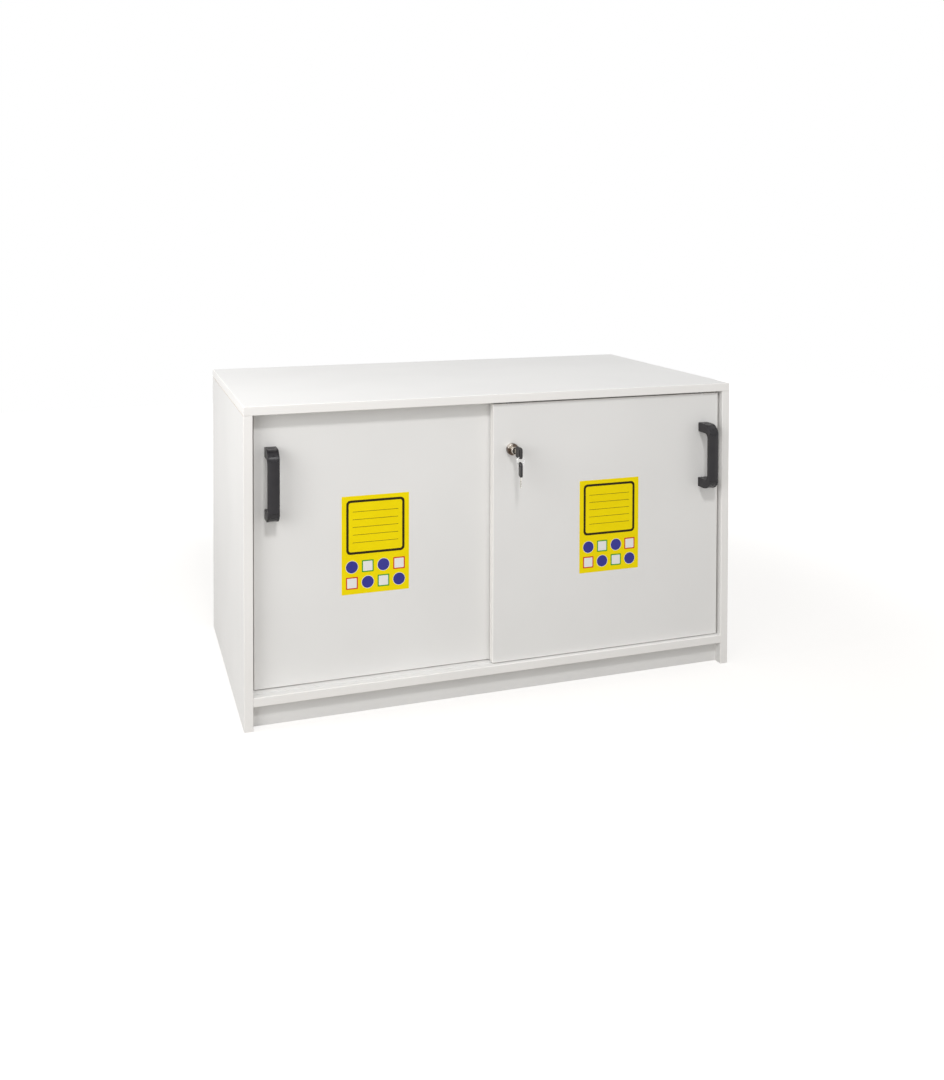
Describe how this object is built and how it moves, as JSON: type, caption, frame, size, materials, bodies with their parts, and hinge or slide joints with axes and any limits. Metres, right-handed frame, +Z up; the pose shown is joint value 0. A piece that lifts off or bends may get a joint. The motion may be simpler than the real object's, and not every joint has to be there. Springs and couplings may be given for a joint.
{
  "type": "corrosive storage cabinet",
  "caption": "Low white storage cabinet for corrosives with sliding doors, bridge handles, a push lock with its keys, retention trays, shelves and rear vent spigots.",
  "frame": {"origin": "on the floor, under the middle of the whole object with its handles and keys", "axes": "+X to the right seen from the front, +Y to the back, +Z up"},
  "size_m": [1.13, 0.6761, 0.665],
  "materials": {
    "white_melamine_board": "satin white melamine facing on chipboard",
    "white_abs_edging": "satin",
    "black_polyamide": "fine spark-eroded texture",
    "black_key_plastic": "fine texture",
    "nickel_plated_zinc": "bright nickel plate",
    "nickel_silver": "milled",
    "bright_steel": "bright zinc plate",
    "white_track_plastic": "extruded, satin",
    "grey_polyamide": "moulded",
    "polypropylene": "moulded, satin",
    "beech": "ribbed",
    "yellow_label_film": "satin printed vinyl film"
  },
  "bodies": {
    "cabinet": {"top_panel": "white_melamine_board", "top_edging": "white_abs_edging", "left_side": "white_melamine_board", "right_side": "white_melamine_board", "side_edging": "white_abs_edging", "bottom_panel": "white_melamine_board", "bottom_edging": "white_abs_edging", "kickboard": "white_melamine_board", "rear_plinth_rail": "white_melamine_board", "back_panel": "white_melamine_board", "centre_partition": "white_melamine_board", "left_shelf": "white_melamine_board", "right_shelf": "white_melamine_board", "inner_edging": "white_abs_edging", "shelf_pins": "bright_steel", "left_floor_tray": "polypropylene", "right_floor_tray": "polypropylene", "left_shelf_tray": "polypropylene", "right_shelf_tray": "polypropylene", "vent_spigots": "polypropylene", "spigot_screws": "bright_steel", "bottom_tracks": "white_track_plastic", "top_channels": "white_track_plastic", "channel_stops": "white_track_plastic", "cam_fittings": "nickel_plated_zinc", "carcase_dowels": "beech"},
    "front_door": {"front_door": "white_melamine_board", "front_door_edging": "white_abs_edging", "front_handle": "black_polyamide", "front_handle_caps": "black_polyamide", "front_handle_screws": "bright_steel", "lock_housing": "nickel_plated_zinc", "front_roller_housings": "grey_polyamide", "front_roller_pins": "bright_steel", "front_guide_sockets": "grey_polyamide"},
    "rear_door": {"rear_door": "white_melamine_board", "rear_door_edging": "white_abs_edging", "rear_handle": "black_polyamide", "rear_handle_caps": "black_polyamide", "rear_handle_screws": "bright_steel", "strike_plate": "bright_steel", "strike_screws": "bright_steel", "rear_roller_housings": "grey_polyamide", "rear_roller_pins": "bright_steel", "rear_guide_sockets": "grey_polyamide"},
    "lock_barrel": {"lock_barrel": "nickel_plated_zinc"},
    "lock_plug": {"lock_plug": "nickel_plated_zinc"},
    "key": {"key_blade": "nickel_silver", "key_grip": "black_key_plastic"},
    "key_ring": {"key_ring": "bright_steel"},
    "spare_key": {"spare_key_blade": "nickel_silver", "spare_key_grip": "black_key_plastic"},
    "front_left_roller": {"front_left_roller": "grey_polyamide"},
    "front_right_roller": {"front_right_roller": "grey_polyamide"},
    "front_left_guide_pin": {"front_left_guide_pin": "grey_polyamide"},
    "front_right_guide_pin": {"front_right_guide_pin": "grey_polyamide"},
    "rear_left_roller": {"rear_left_roller": "grey_polyamide"},
    "rear_right_roller": {"rear_right_roller": "grey_polyamide"},
    "rear_left_guide_pin": {"rear_left_guide_pin": "grey_polyamide"},
    "rear_right_guide_pin": {"rear_right_guide_pin": "grey_polyamide"}
  },
  "joints": [
    {"name": "front_door_slide", "type": "slide", "parent": "cabinet", "child": "front_door", "axis": [1, 0, 0], "range_m": [-0.465, 0]},
    {"name": "rear_door_slide", "type": "slide", "parent": "cabinet", "child": "rear_door", "axis": [1, 0, 0], "range_m": [0, 0.465]},
    {"name": "front_left_roller_spin", "type": "hinge", "parent": "front_door", "child": "front_left_roller", "pos_m": [0.046, -0.26237, 0.0776], "axis": [0, 1, 0], "continuous": true},
    {"name": "front_right_roller_spin", "type": "hinge", "parent": "front_door", "child": "front_right_roller", "pos_m": [0.47, -0.26237, 0.0776], "axis": [0, 1, 0], "continuous": true},
    {"name": "front_left_guide_pin_draw", "type": "slide", "parent": "front_door", "child": "front_left_guide_pin", "axis": [0, 0, 1], "range_m": [-0.0105, 0], "stiffness_N_per_m": 300, "springref_m": 0.005},
    {"name": "front_right_guide_pin_draw", "type": "slide", "parent": "front_door", "child": "front_right_guide_pin", "axis": [0, 0, 1], "range_m": [-0.0105, 0], "stiffness_N_per_m": 300, "springref_m": 0.005},
    {"name": "rear_left_roller_spin", "type": "hinge", "parent": "rear_door", "child": "rear_left_roller", "pos_m": [-0.47, -0.23737, 0.0776], "axis": [0, 1, 0], "continuous": true},
    {"name": "rear_right_roller_spin", "type": "hinge", "parent": "rear_door", "child": "rear_right_roller", "pos_m": [-0.01, -0.23737, 0.0776], "axis": [0, 1, 0], "continuous": true},
    {"name": "rear_left_guide_pin_draw", "type": "slide", "parent": "rear_door", "child": "rear_left_guide_pin", "axis": [0, 0, 1], "range_m": [-0.0105, 0], "stiffness_N_per_m": 300, "springref_m": 0.005},
    {"name": "rear_right_guide_pin_draw", "type": "slide", "parent": "rear_door", "child": "rear_right_guide_pin", "axis": [0, 0, 1], "range_m": [-0.0105, 0], "stiffness_N_per_m": 300, "springref_m": 0.005},
    {"name": "lock_push", "type": "slide", "parent": "front_door", "child": "lock_barrel", "axis": [0, 1, 0], "range_m": [0, 0.014], "stiffness_N_per_m": 250, "springref_m": -0.004},
    {"name": "plug_turn", "type": "hinge", "parent": "lock_barrel", "child": "lock_plug", "pos_m": [0.0195, -0.29587, 0.5417], "axis": [0, 1, 0], "range_deg": [0, 90]},
    {"name": "key_withdraw", "type": "slide", "parent": "lock_plug", "child": "key", "axis": [0, -1, 0], "range_m": [0, 0.024]},
    {"name": "key_ring_swing", "type": "hinge", "parent": "key", "child": "key_ring", "pos_m": [0.0195, -0.32587, 0.5345], "axis": [1, 0, 0], "range_deg": [-60, 15]},
    {"name": "spare_key_swing", "type": "hinge", "parent": "key_ring", "child": "spare_key", "pos_m": [0.0195, -0.32587, 0.5173], "axis": [1, 0, 0], "range_deg": [-35, 15]}
  ],
  "couplings": [
    {"joint": "front_left_roller_spin", "follows": "front_door_slide", "rad_per_m": 84.746},
    {"joint": "front_right_roller_spin", "follows": "front_door_slide", "rad_per_m": 84.746},
    {"joint": "rear_left_roller_spin", "follows": "rear_door_slide", "rad_per_m": 84.746},
    {"joint": "rear_right_roller_spin", "follows": "rear_door_slide", "rad_per_m": 84.746}
  ]
}
